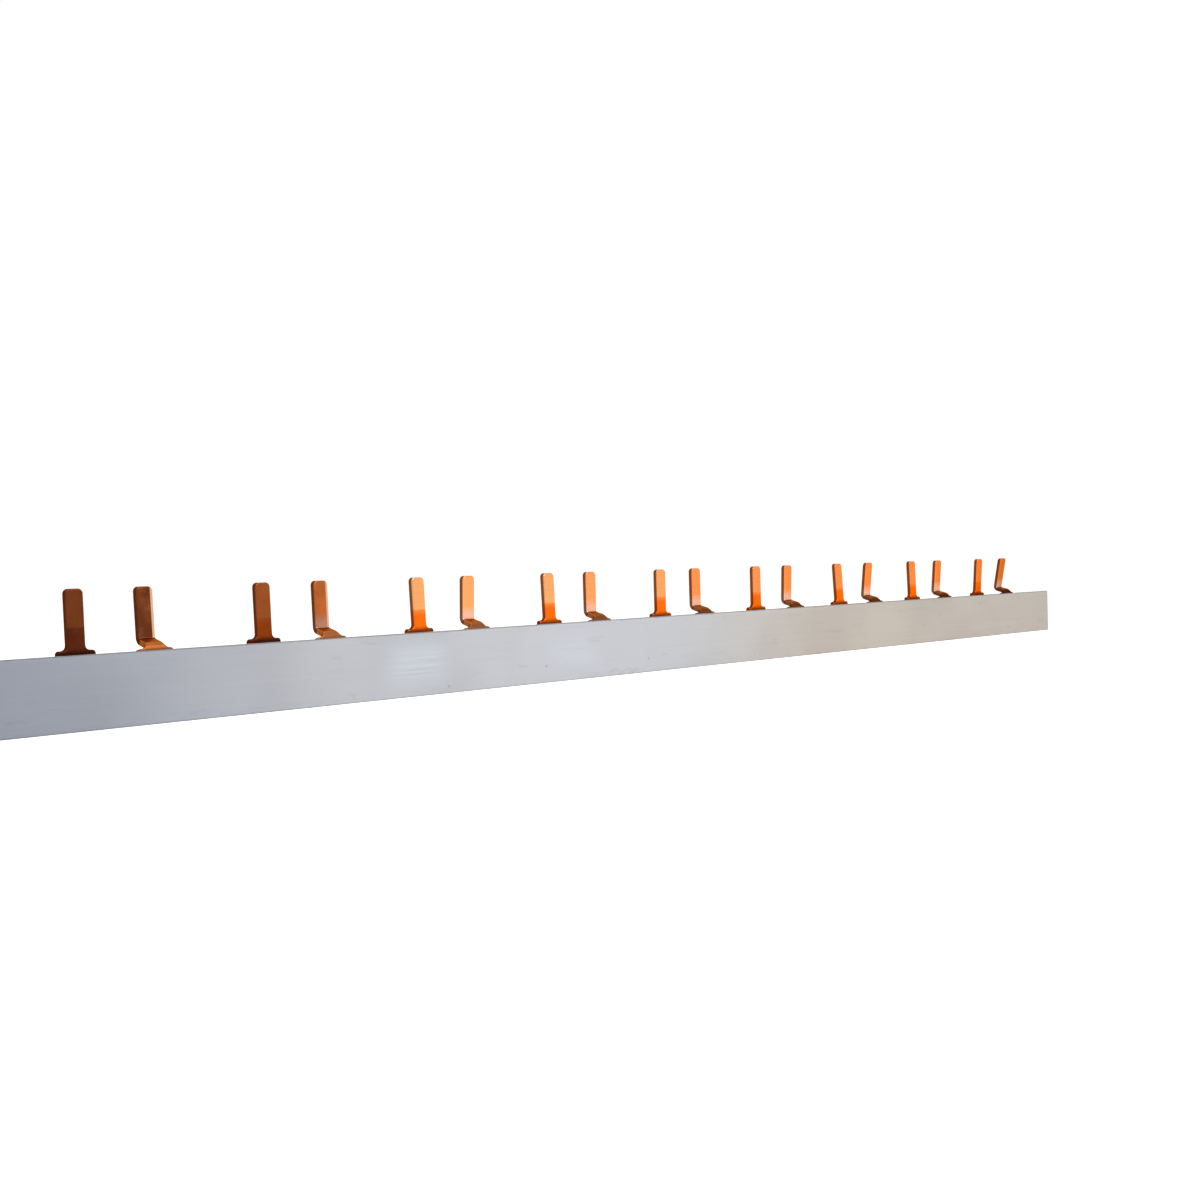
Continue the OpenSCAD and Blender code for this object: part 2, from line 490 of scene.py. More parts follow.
@dataclass(frozen=True)
class ExtrudedPlastic:
    """Light-grey PVC as it leaves the die: satin, with fine lines along it and faint wear; painted shade
    darkens it towards the left end, and painted reflections lighten patches along the front.
    """

    name: str = "cover_pvc"
    # Colours along the bar: the darker, bluer left end is painted shade where the light falls off; the right
    # end is warmer.
    middle: Colour = (0.545, 0.555, 0.585)
    left: Colour = (0.275, 0.30, 0.365)
    right: Colour = (0.555, 0.50, 0.435)
    dirt_and_shade: Colour = (0.12, 0.115, 0.12)
    # Colour of the painted reflection patches.
    painted_reflection: Colour = (0.64, 0.68, 0.77)
    roughness: float = 0.38
    wall_height: float = 17.4 * MM
    half_length: float = 240.8 * MM
    # Centre and half width along the bar of each painted reflection patch.
    rubbed: tuple[tuple[float, float], ...] = (
        (-120 * MM, 11 * MM), (-62 * MM, 17 * MM), (-34 * MM, 6 * MM)
    )

    def material(self, lines: bpy.types.NodeTree, marks: bpy.types.NodeTree) -> bpy.types.Material:
        """Builds the material.

        Args:
            lines: The group of drawn lines.
            marks: The group of specks and scuffs.

        Returns:
            The material.
        """
        made = bpy.data.materials.new(self.name)
        made.use_nodes = True
        made.diffuse_color = (*self.middle, 1.0)
        nodes = Shading(made.node_tree)
        shader = made.node_tree.nodes["Principled BSDF"]
        where = nodes.node("ShaderNodeTexCoord").outputs["Object"]
        split = nodes.node("ShaderNodeSeparateXYZ", {0: where})
        x, z = split.outputs["X"], split.outputs["Z"]

        # Painted shade: darker and bluer towards the left end; warmer towards the right end.
        colour = nodes.mix(
            nodes.ramp(x, -1.12 * self.half_length, -0.48 * self.half_length), self.left, self.middle
        )
        colour = nodes.mix(
            nodes.ramp(x, -0.1 * self.half_length, 0.3 * self.half_length), colour, self.right
        )
        cloud = nodes.node("ShaderNodeTexNoise", {"Vector": where, "Scale": 22.0, "Detail": 2.0})
        colour = nodes.mix(
            nodes.math("MULTIPLY", nodes.ramp(cloud.outputs[0], 0.42, 0.68), 0.12), colour, self.dirt_and_shade
        )

        drawn = nodes.use(lines, where, Scale=1100.0, Stretch=0.012)["Lines"]
        # Painted reflection: lighter, bluer patches along the front, broken up by the cloud and the drawn
        # lines; they are also smoother.
        torn = nodes.ramp(cloud.outputs[0], 0.34, 0.56)
        reflection_patches = nodes.math("MULTIPLY", self.reflection_patches(nodes, x, z), torn)
        shown = nodes.math(
            "MULTIPLY", reflection_patches, nodes.math("ADD", 0.25, nodes.math("MULTIPLY", drawn, 0.75))
        )
        colour = nodes.mix(nodes.math("MULTIPLY", shown, 0.75), colour, self.painted_reflection)
        colour = nodes.mix(nodes.math("MULTIPLY", drawn, 0.04), colour, self.dirt_and_shade)

        worn = nodes.use(marks, where, Speck_Scale=420.0, Speck_Rarity=0.972, Scuff_Scale=60.0)
        colour = nodes.mix(nodes.math("MULTIPLY", worn["Specks"], 0.35), colour, self.dirt_and_shade)
        colour = nodes.mix(nodes.math("MULTIPLY", worn["Scuffs"], 0.14), colour, self.dirt_and_shade)
        # Darker bands along the top edge of the front wall and along the foot.
        rim = nodes.ramp(z, self.wall_height - 0.42 * MM, self.wall_height - 0.12 * MM)
        foot = nodes.ramp(z, 0.3 * MM, 0.05 * MM)
        dark_edge_bands = nodes.math(
            "ADD", nodes.math("MULTIPLY", rim, 0.75), nodes.math("MULTIPLY", foot, 0.45), clamp=True
        )
        colour = nodes.mix(dark_edge_bands, colour, self.dirt_and_shade)

        rough = nodes.math("ADD", self.roughness, nodes.math("MULTIPLY", drawn, 0.1))
        rough = nodes.math("SUBTRACT", rough, nodes.math("MULTIPLY", reflection_patches, 0.12))
        rough = nodes.math("ADD", rough, nodes.math("MULTIPLY", worn["Scuffs"], 0.2))
        height = nodes.math("ADD", drawn, nodes.math("MULTIPLY", worn["Scuffs"], -0.8))
        bump = nodes.node("ShaderNodeBump", {"Height": height, "Strength": 0.35, "Distance": 0.02 * MM})
        made.node_tree.links.new(colour, shader.inputs["Base Color"])
        made.node_tree.links.new(rough, shader.inputs["Roughness"])
        made.node_tree.links.new(bump.outputs[0], shader.inputs["Normal"])
        shader.inputs["IOR"].default_value = 1.46
        return made

    def reflection_patches(
        self, nodes: Shading, x: bpy.types.NodeSocket, z: bpy.types.NodeSocket
    ) -> bpy.types.NodeSocket:
        """Builds the mask of the painted reflections: lighter, bluer patches along the front, which are also
        made a little smoother.

        Args:
            nodes: The builder.
            x: Place along the bar.
            z: Height above the underside.

        Returns:
            The mask.
        """
        total = None
        for centre, half in self.rubbed:
            one = nodes.band(x, centre, half * 0.35, half * 1.1)
            total = one if total is None else nodes.math("MAXIMUM", total, one)
        return nodes.math("MULTIPLY", total, nodes.band(z, 9.0 * MM, 2.5 * MM, 6.0 * MM))


@dataclass(frozen=True)
class SheetMap:
    """What the combs' meshes tell their material.

    The first three place a point on the sheet: across the pin in half widths, above the cover's edge
    along the sheet, and through it from -1 at the back to 1 at the front. The others are set pin by
    pin.
    """

    across: bpy.types.NodeSocket
    above: bpy.types.NodeSocket
    through: bpy.types.NodeSocket
    tarnish: bpy.types.NodeSocket
    vivid: bpy.types.NodeSocket
    rubbed: bpy.types.NodeSocket
    bent: bpy.types.NodeSocket
    # Depth of the painted shade at a pin's foot and tab.
    shade_depth: bpy.types.NodeSocket


@dataclass(frozen=True)
class TarnishedCopper:
    """Bare stamped copper: rolled faces, torn side faces and a brown tarnish, with painted reflections,
    highlights and shade on the pins.

    Each fade runs from where a tone starts to where it is full.
    """

    name: str = "copper"
    bright: Colour = (0.76, 0.33, 0.12)
    vivid: Colour = (0.80, 0.205, 0.042)
    # Deepest orange of the painted reflection low on the straight pins.
    deep_reflection: Colour = (0.80, 0.125, 0.004)
    # Colour of the painted highlight over the bends of the bent pins.
    bend_highlight: Colour = (0.72, 0.38, 0.25)
    # orange and brown are the bent tabs' colours under light and deep painted shade; brown is also the
    # tarnish.
    orange: Colour = (0.42, 0.13, 0.03)
    brown: Colour = (0.10, 0.026, 0.009)
    umber: Colour = (0.055, 0.012, 0.005)
    black: Colour = (0.03, 0.013, 0.008)
    # Colour of the painted highlight down the front edge of tarnished bent pins.
    highlight_cream: Colour = (0.66, 0.40, 0.24)
    edge_tint: Colour = (0.7, 0.42, 0.28)
    roughness: float = 0.24
    ragged: float = 0.6 * MM
    tarnish_scale: float = 160.0
    # Painted reflection line on the straight pins, and the deepening below it: paler above, deeper orange
    # below.
    reflection_line_fade: Flat = (5.75 * MM, 6.25 * MM)
    vivid_fade: Flat = (4.2 * MM, 6.2 * MM)
    bend_highlight_fade: Flat = (9.5 * MM, 6.0 * MM)
    # Where the painted shade on the bent tabs and at each pin's foot starts and where it is full.
    tab_fade: Flat = (4.1 * MM, 3.4 * MM)
    root_shade_fade: Flat = (1.7 * MM, 0.3 * MM)
    side_fade: Flat = (0.86, 0.62)
    # A dark band of painted shade in the crease above each bent tab: its place, half width and soft length.
    crease: tuple[float, float, float] = (4.0 * MM, 0.15 * MM, 0.2 * MM)
    highlight_strip: tuple[float, float, float] = (0.82, 0.12, 0.07)

    def material(self, lines: bpy.types.NodeTree, marks: bpy.types.NodeTree) -> bpy.types.Material:
        """Builds the material, which reads what each comb's mesh carries.

        Args:
            lines: The group of drawn lines.
            marks: The group of specks and scuffs.

        Returns:
            The material.
        """
        made = bpy.data.materials.new(self.name)
        made.use_nodes = True
        made.diffuse_color = (*self.bright, 1.0)
        nodes = Shading(made.node_tree)
        shader = made.node_tree.nodes["Principled BSDF"]
        where = nodes.node("ShaderNodeTexCoord").outputs["Object"]
        wobble = nodes.node("ShaderNodeTexNoise", {"Vector": where, "Scale": 420.0, "Detail": 3.0})
        sheet = self.read_sheet(nodes, wobble.outputs[0])
        # Painted reflection: on straight pins the part above this line is paler, the part below a deeper
        # orange.
        tip = nodes.ramp(sheet.above, *self.reflection_line_fade)
        colour = self.clean_colour(nodes, sheet, tip)
        dull = self.dullness(nodes, sheet, where)
        # On straight pins the tarnish is also darker below the painted reflection line.
        darkest = nodes.mix(
            nodes.math("MULTIPLY", nodes.math("SUBTRACT", 1.0, tip), sheet.rubbed), self.brown, self.umber
        )
        colour = nodes.mix(dull, colour, darkest)
        # Painted highlight down the front edge of tarnished bent pins.
        colour = self.painted_edge_highlight(nodes, sheet, colour)

        drawn = nodes.use(lines, where, Scale=1500.0, Stretch=0.05)["Lines"]
        colour = nodes.mix(nodes.math("MULTIPLY", drawn, 0.06), colour, self.brown)
        # The side faces are darker: partly the dull tone of torn copper, partly painted shade.
        side = nodes.ramp(nodes.math("ABSOLUTE", sheet.through), *self.side_fade)
        colour = nodes.mix(nodes.math("MULTIPLY", side, 0.86), colour, self.brown)
        colour = self.painted_foot_shade(nodes, sheet, colour)
        worn = nodes.use(marks, where, Speck_Scale=900.0, Speck_Rarity=0.985, Scuff_Scale=260.0)
        colour = nodes.mix(nodes.math("MULTIPLY", worn["Specks"], 0.8), colour, self.black)

        rough = nodes.math("ADD", self.roughness, nodes.math("MULTIPLY", dull, 0.12))
        rough = nodes.math("ADD", rough, nodes.math("MULTIPLY", side, 0.22))
        rough = nodes.math("ADD", rough, nodes.math("MULTIPLY", worn["Scuffs"], 0.15))
        height = nodes.math(
            "ADD", nodes.math("MULTIPLY", drawn, 0.5), nodes.math("MULTIPLY", wobble.outputs[0], 0.5)
        )
        bump = nodes.node("ShaderNodeBump", {"Height": height, "Strength": 0.3, "Distance": 0.03 * MM})
        nodes.links.new(colour, shader.inputs["Base Color"])
        nodes.links.new(rough, shader.inputs["Roughness"])
        nodes.links.new(bump.outputs[0], shader.inputs["Normal"])
        shader.inputs["Metallic"].default_value = 1.0
        shader.inputs["Specular Tint"].default_value = (*self.edge_tint, 1.0)
        return made

    def read_sheet(self, nodes: Shading, wobble: bpy.types.NodeSocket) -> SheetMap:
        """Reads what the mesh carries.

        Args:
            nodes: The builder.
            wobble: Noise that makes the borders of the tones ragged.

        Returns:
            The sockets.
        """
        stray = nodes.math("MULTIPLY", nodes.math("SUBTRACT", wobble, 0.5), self.ragged)
        # rubbed is 1 on straight pins, which get the painted reflection line, and 0 on bent pins.
        rubbed = nodes.attribute("rubbed")
        return SheetMap(
            across=nodes.attribute("across"),
            above=nodes.math("ADD", nodes.attribute("above"), stray),
            through=nodes.attribute("through"),
            tarnish=nodes.attribute("tarnish"),
            vivid=nodes.attribute("vivid"),
            rubbed=rubbed,
            bent=nodes.math("SUBTRACT", 1.0, rubbed),
            shade_depth=nodes.attribute("shade_depth"),
        )

    def clean_colour(
        self, nodes: Shading, sheet: SheetMap, tip: bpy.types.NodeSocket
    ) -> bpy.types.NodeSocket:
        """Builds the metal's colour with painted light: on straight pins a paler part above a line under the
        tips and a deeper orange below it, and on bent pins a painted highlight over a bend.
        """
        clean = nodes.mix(sheet.vivid, self.bright, self.vivid)
        # Painted highlight: bent pins are paler over the bend.
        bent = nodes.mix(nodes.ramp(sheet.above, *self.bend_highlight_fade), clean, self.bend_highlight)
        # Painted reflection: the straight pins turn a deeper orange towards their foot.
        lower = nodes.mix(nodes.ramp(sheet.above, *self.vivid_fade), self.deep_reflection, self.vivid)
        return nodes.mix(sheet.rubbed, bent, nodes.mix(tip, lower, clean))

    def dullness(
        self, nodes: Shading, sheet: SheetMap, where: bpy.types.NodeSocket
    ) -> bpy.types.NodeSocket:
        """Builds how far the tarnish covers the metal, which is patchy on bent pins."""
        cloud = nodes.node(
            "ShaderNodeTexNoise",
            {"Vector": where, "Scale": self.tarnish_scale, "Detail": 4.0, "Roughness": 0.6},
        )
        patchy = nodes.math("MULTIPLY", nodes.math("SUBTRACT", cloud.outputs[0], 0.5), 0.55)
        uneven = nodes.math("ADD", 0.3, nodes.math("MULTIPLY", sheet.bent, sheet.tarnish))
        return nodes.math("ADD", sheet.tarnish, nodes.math("MULTIPLY", patchy, uneven), clamp=True)

    def painted_edge_highlight(
        self, nodes: Shading, sheet: SheetMap, colour: bpy.types.NodeSocket
    ) -> bpy.types.NodeSocket:
        """Adds a painted highlight: a strip down the front edge of bent pins that have tarnished."""
        strip = nodes.band(sheet.across, *self.highlight_strip)
        masks = (
            nodes.ramp(sheet.tarnish, 0.3, 0.5),
            nodes.ramp(sheet.above, 4.3 * MM, 5.2 * MM),
            nodes.ramp(sheet.through, 0.5, 0.8),
            sheet.bent,
        )
        for mask in masks:
            strip = nodes.math("MULTIPLY", strip, mask)
        return nodes.mix(nodes.math("MULTIPLY", strip, 0.85), colour, self.highlight_cream)

    def painted_foot_shade(
        self, nodes: Shading, sheet: SheetMap, colour: bpy.types.NodeSocket
    ) -> bpy.types.NodeSocket:
        """Paints shade on the bent tabs, on the crease above them and at every pin's foot."""
        tab = nodes.math("MULTIPLY", nodes.ramp(sheet.above, *self.tab_fade), sheet.bent)
        # Painted shade: the tabs of bent pins darken from orange to brown as the shade deepens.
        dirt_and_shade = nodes.mix(sheet.shade_depth, self.orange, self.brown)
        colour = nodes.mix(nodes.math("MULTIPLY", tab, 0.85), colour, dirt_and_shade)
        # Painted shade: a dark line in the crease above the tab of each bent pin.
        crease = nodes.math("MULTIPLY", nodes.band(sheet.above, *self.crease), sheet.bent)
        colour = nodes.mix(nodes.math("MULTIPLY", crease, 0.75), colour, self.black)
        # Painted shade at every pin's foot, where it meets the cover's edge.
        strength = nodes.math("ADD", 0.45, nodes.math("MULTIPLY", sheet.shade_depth, 0.5))
        root = nodes.math("MULTIPLY", nodes.ramp(sheet.above, *self.root_shade_fade), strength)
        return nodes.mix(root, colour, self.umber)


# ---------------------------------------------------------------------------------------------
# The cover
# ---------------------------------------------------------------------------------------------


@dataclass
class Cover:
    """The extruded channel: a base, a tall front wall, a web and a lower rear wall."""

    wall: float = 1.5 * MM
    base: float = 1.6 * MM
    channel: float = 2.0 * MM
    rear_drop: float = 1.2 * MM
    web_drop: float = 0.6 * MM
    edge_radius: float = 0.4 * MM
    root_radius: float = 0.2 * MM
    stations: int = 97
    bow: float = 0.1 * MM

    def outline(self, depth: float, height: float) -> list[Flat]:
        """Gives the section.

        Args:
            depth: Distance over both walls.
            height: Height of the front wall.

        Returns:
            The section's points in order, each as place across the bar and height.
        """
        half, web = depth / 2, depth / 2 - self.wall - self.channel
        edge, root = self.edge_radius, self.root_radius
        rear, middle = height - self.rear_drop, height - self.web_drop
        return rounded(
            [
                (-half, 0, edge), (half, 0, edge),
                (half, rear, edge), (half - self.wall, rear, edge),
                (half - self.wall, self.base, root), (web, self.base, root),
                (web, middle, edge), (-web, middle, edge),
                (-web, self.base, root), (-half + self.wall, self.base, root),
                (-half + self.wall, height, edge), (-half, height, edge),
            ],
            steps=6,
            rim=0.12 * MM,
        )

    def build(self, finish: bpy.types.Material) -> bpy.types.Object:
        """Builds the cover in place of its node.

        Args:
            finish: Its material.

        Returns:
            The piece.
        """
        low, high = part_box("cover")
        section = self.outline(high[1] - low[1], high[2])
        count = len(section)
        loop = [(i, (i + 1) % count) for i in range(count)]
        host = new_object(
            "cover_outline", mesh_of("cover_outline", [(-y, -z, 0) for y, z in section], loop)
        )
        swept_channel_tree().apply_to(
            host,
            {"Start": (low[0], 0, 0), "End": (high[0], 0, 0), "Stations": self.stations, "Bow": self.bow,
             "Bow Height": high[2], "Seed": 3.0, "Material": finish},
        )
        piece = plain_mesh(host, "cover_channel", sharp=50)
        return ride(piece, "cover")


# ---------------------------------------------------------------------------------------------
# The combs
# ---------------------------------------------------------------------------------------------


@dataclass
class SheetPath:
    """The way that a comb's sheet runs up from the strip, seen along the bar."""

    plane: float
    bend_height: float
    jog: float
    thickness: float = 1.6 * MM
    bend_radius: float = 0.4 * MM
    rise: float = 0.28
    run: float = 0.96

    @property
    def middle_radius(self) -> float:
        """Radius of both bends at the middle of the sheet."""
        return self.bend_radius + self.thickness / 2

    @property
    def bend_length(self) -> float:
        """Length of one bend along the middle of the sheet."""
        return self.middle_radius * math.acos(self.rise)

    @property
    def tab_length(self) -> float:
        """Length of the flat tab between the bends."""
        return (self.jog - 2 * (1 - self.rise) * self.middle_radius) / self.run

    @property
    def top_bend_height(self) -> float:
        """Height at which the sheet is upright again."""
        return self.bend_height + 2 * self.run * self.middle_radius + self.rise * self.tab_length

    def marks(self) -> list[float]:
        """Gives the lengths along the sheet at which the bends need a row of points."""
        if not self.jog:
            return []
        start, tab = self.bend_height, self.bend_height + self.bend_length
        return (
            [start + self.bend_length * i / 8 for i in range(9)]
            + [tab + self.tab_length * i / 4 for i in range(1, 4)]
            + [tab + self.tab_length + self.bend_length * i / 8 for i in range(9)]
        )

    def length_to(self, height: float) -> float:
        """Returns the length along the sheet up to a height above the bends."""
        if not self.jog:
            return height
        return self.bend_height + 2 * self.bend_length + self.tab_length + height - self.top_bend_height

    def place(self, along: float, through: float) -> tuple[float, float]:
        """Finds a point of the sheet.

        Args:
            along: Length along the middle of the sheet, from the underside of the bar.
            through: Distance from the middle of the sheet towards its front face.

        Returns:
            The point's place across the bar and its height.
        """
        left = along - self.bend_height
        if not self.jog or left <= 0:
            return self.plane - through, along
        radius, turn = self.middle_radius, math.acos(self.rise)
        low = (self.plane + radius, self.bend_height)
        if left < self.bend_length:
            angle = math.pi - left / radius
            reach = radius + through
            return low[0] + reach * math.cos(angle), low[1] + reach * math.sin(angle)
        left -= self.bend_length
        if left < self.tab_length:
            start = (low[0] - self.rise * radius, low[1] + self.run * radius)
            return (
                start[0] + self.run * left - self.rise * through,
                start[1] + self.rise * left + self.run * through,
            )
        left -= self.tab_length
        high = (self.plane + self.jog - radius, self.top_bend_height)
        if left < self.bend_length:
            angle = left / radius - turn
            reach = radius - through
            return high[0] + reach * math.cos(angle), high[1] + reach * math.sin(angle)
        return self.plane + self.jog - through, high[1] + left - self.bend_length


@dataclass
class OutlinePoint:
    """A point on the right half of a pin's flat outline, with the way out of the sheet there."""

    x: float
    along: float
    out_x: float
    out_along: float


@dataclass
class PinBlank:
    """One pin with the piece of strip that it grows from, stamped and with its edges rounded."""

    path: SheetPath
    foot: float
    strip_top: float
    shoulder: float
    top: float
    stub: float = 7.0 * MM
    pin_half: float = 2.2 * MM
    shoulder_half: float = 4.7 * MM
    root_radius: float = 0.8 * MM
    shoulder_radius: float = 0.8 * MM
    flare_radius: float = 1.2 * MM
    tip_radius: float = 1.2 * MM
    edge_radius: float = 0.25 * MM
    roll_depth: float = 0.06 * MM
    roll_width: float = 1.0 * MM
    shares: tuple[float, ...] = (0.0, 0.35, 0.58, 0.74, 0.86, 0.94, 1.0)

    def levels(self) -> list[tuple[float, float]]:
        """Gives the steps of a side face from back to front.

        Returns:
            For each step, how far the outline is pulled in and its place through the sheet.
        """
        half, radius = self.path.thickness / 2, self.edge_radius
        back = [(radius * (1 - math.sin(a)), -half + radius * (1 - math.cos(a)))
                for a in (math.radians(22.5 * i) for i in range(5))]
        return back + [(inset, -through) for inset, through in reversed(back)]

    def side(self) -> list[OutlinePoint]:
        """Gives the right half of the outline from the top of the strip to the tip."""
        points = [OutlinePoint(self.stub, self.strip_top, 0, 1)]

        def curve(
            x: float, along: float, radius: float, start: float, end: float, steps: int, sign: int
        ) -> None:
            """Adds an arc, whose outside is away from its centre for sign 1 and towards it for -1."""
            for a, (px, ps) in zip(
                [math.radians(start + (end - start) * i / steps) for i in range(steps + 1)],
                arc((x, along), radius, start, end, steps),
            ):
                points.append(OutlinePoint(px, ps, sign * math.cos(a), sign * math.sin(a)))

        curve(
            self.shoulder_half + self.root_radius,
            self.strip_top + self.root_radius,
            self.root_radius,
            270,
            180,
            3,
            -1
        )
        curve(
            self.shoulder_half - self.shoulder_radius,
            self.shoulder - self.shoulder_radius,
            self.shoulder_radius,
            0,
            90,
            5,
            1
        )
        curve(
            self.pin_half + self.flare_radius,
            self.shoulder + self.flare_radius,
            self.flare_radius,
            270,
            180,
            6,
            -1
        )
        start, end = self.shoulder + self.flare_radius, self.top - self.tip_radius
        between = sorted(
            {round(s, 7) for s in self.path.marks() if start + 0.02 * MM < s < end}
            | {round(end - (end - start) * i / 9, 7) for i in range(1, 9)}
        )
        kept = [s for i, s in enumerate(between) if i == 0 or s - between[i - 1] > 0.02 * MM]
        points += [OutlinePoint(self.pin_half, s, 1, 0) for s in kept]
        curve(self.pin_half - self.tip_radius, end, self.tip_radius, 0, 90, 7, 1)
        return points

    def mesh(self, name: str) -> bpy.types.Mesh:
        """Builds the pin about x = 0, open at both cut ends of its piece of strip.

        Args:
            name: The mesh's name.

        Returns:
            The mesh, which carries across, above and through for its material.
        """
        side = self.side()
        levels = self.levels()
        verts: list[tuple[float, float, float]] = []
        notes: list[tuple[float, float, float]] = []
        faces: list[tuple[int, ...]] = []
        seen: dict[tuple, int] = {}

        def point(x: float, along: float, through: float) -> int:
            """Returns the index of a point of the sheet, which is made once."""
            key = (round(x, 8), round(along, 8), round(through, 8))
            if key not in seen:
                seen[key] = len(verts)
                y, z = self.path.place(along, self.rolled(x, along, through))
                verts.append((x, y, z))
                half = self.path.thickness / 2
                notes.append((x / self.pin_half, along - self.path.bend_height, through / half))
            return seen[key]

        def inner(p: OutlinePoint, inset: float) -> Flat:
            """Returns an outline point pulled into the sheet."""
            return p.x - inset * p.out_x, p.along - inset * p.out_along

        radius = self.edge_radius
        rows = self.rows(side, radius)
        for through in (-self.path.thickness / 2, self.path.thickness / 2):
            for (low_along, low_xs), (high_along, high_xs) in zip(rows, rows[1:]):
                for k in range(min(len(low_xs), len(high_xs)) - 1):
                    for sign in (-1, 1):
                        faces.append((
                            point(sign * low_xs[k], low_along, through),
                            point(sign * low_xs[k + 1], low_along, through),
                            point(sign * high_xs[k + 1], high_along, through),
                            point(sign * high_xs[k], high_along, through),
                        ))
        foot_xs, tip_xs = rows[0][1], rows[-1][1]
        rims = [side + [OutlinePoint(x, self.top, 0, 1) for x in reversed(tip_xs[:-1])]]
        rims.append([OutlinePoint(x, self.foot, 0, -1) for x in foot_xs])
        for rim in rims:
            for a, b in zip(rim, rim[1:]):
                if abs(a.x - b.x) + abs(a.along - b.along) < 1e-8:
                    continue
                for (inset, through), (next_inset, next_through) in zip(levels, levels[1:]):
                    for sign in (-1, 1):
                        corners = [(inner(a, inset), through), (inner(b, inset), through),
                                   (inner(b, next_inset), next_through), (inner(a, next_inset), next_through)]
                        faces.append(tuple(point(sign * x, s, t) for (x, s), t in corners))
        made = mesh_of(name, verts, faces=faces)
        for label, i in (("across", 0), ("above", 1), ("through", 2)):
            made.attributes.new(label, "FLOAT", "POINT").data.foreach_set("value", [n[i] for n in notes])
        return made

    def rows(self, side: Sequence[OutlinePoint], inset: float) -> list[tuple[float, list[float]]]:
        """Lays rows of points over a broad face.

        Args:
            side: The right half of the outline.
            inset: How far the face stays inside the outline.

        Returns:
            For each row its length along the sheet, and its points from the middle outwards.
        """
        ledge = (self.pin_half + self.flare_radius) / (self.shoulder_half - self.shoulder_radius)
        rows: list[tuple[float, list[float]]] = []
        strip = [ledge * (self.shoulder_half + self.root_radius) * u for u in self.shares]
        strip += [self.shoulder_half + self.root_radius, self.stub]
        rows.append((self.foot + inset, strip))
        rows.append((self.strip_top - inset, strip))
        for p in side[2:]:
            x, along = p.x - inset * p.out_x, p.along - inset * p.out_along
            if along <= rows[-1][0] + 1e-7:
                continue
            if p.along <= self.shoulder + 1e-9:
                rows.append((along, [ledge * x * u for u in self.shares] + [x]))
            else:
                rows.append((along, [x * u for u in self.shares]))
        return rows

    def rolled(self, x: float, along: float, through: float) -> float:
        """Lets the front face fall away towards a pin's long edges, as the punch leaves it.

        Args:
            x: Place across the pin.
            along: Length along the sheet.
            through: Place through the sheet.

        Returns:
            The place through the sheet after the fall.
        """
        near = (abs(x) - (self.pin_half - self.roll_width)) / self.roll_width
        start = self.shoulder + self.flare_radius
        grown = min(1.0, max(0.0, (along - start) / (1.0 * MM)))
        if near <= 0 or grown <= 0:
            return through
        front = (through / (self.path.thickness / 2) + 1) / 2
        return through - self.roll_depth * min(near, 1.0) ** 1.4 * front * grown

    def link_mesh(self, name: str, cuts: Sequence[float]) -> bpy.types.Mesh:
        """Builds the lengths of strip between the pins, open where pins join them.

        Args:
            name: The mesh's name.
            cuts: Ends of the lengths, in pairs; the first and last are the comb's own ends.

        Returns:
            The mesh.
        """
        half, radius = self.path.thickness / 2, self.edge_radius
        section = [(half, self.foot + radius), (half, self.strip_top - radius)]
        section += [(through, self.strip_top - inset) for inset, through in reversed(self.levels())][1:-1]
        section += [(-half, self.strip_top - radius), (-half, self.foot + radius)]
        section += [(through, self.foot + inset) for inset, through in self.levels()][1:-1]
        count = len(section)
        verts, faces, notes = [], [], []
        for x in cuts:
            verts += [(x, *self.path.place(s, t)) for t, s in section]
            notes += [t / half for t, _ in section]
        for pair in range(0, len(cuts), 2):
            a, b = pair * count, (pair + 1) * count
            faces += [(a + i, a + (i + 1) % count, b + (i + 1) % count, b + i) for i in range(count)]
        faces.append(tuple(range(count)))
        faces.append(tuple(range((len(cuts) - 1) * count, len(cuts) * count)))
        made = mesh_of(name, verts, faces=faces)
        made.attributes.new("through", "FLOAT", "POINT").data.foreach_set("value", notes)
        made.attributes.new("above", "FLOAT", "POINT").data.foreach_set(
            "value", [v[2] - self.path.bend_height for v in verts]
        )
        made.attributes.new("across", "FLOAT", "POINT").data.foreach_set("value", [0.0] * len(verts))
        return made


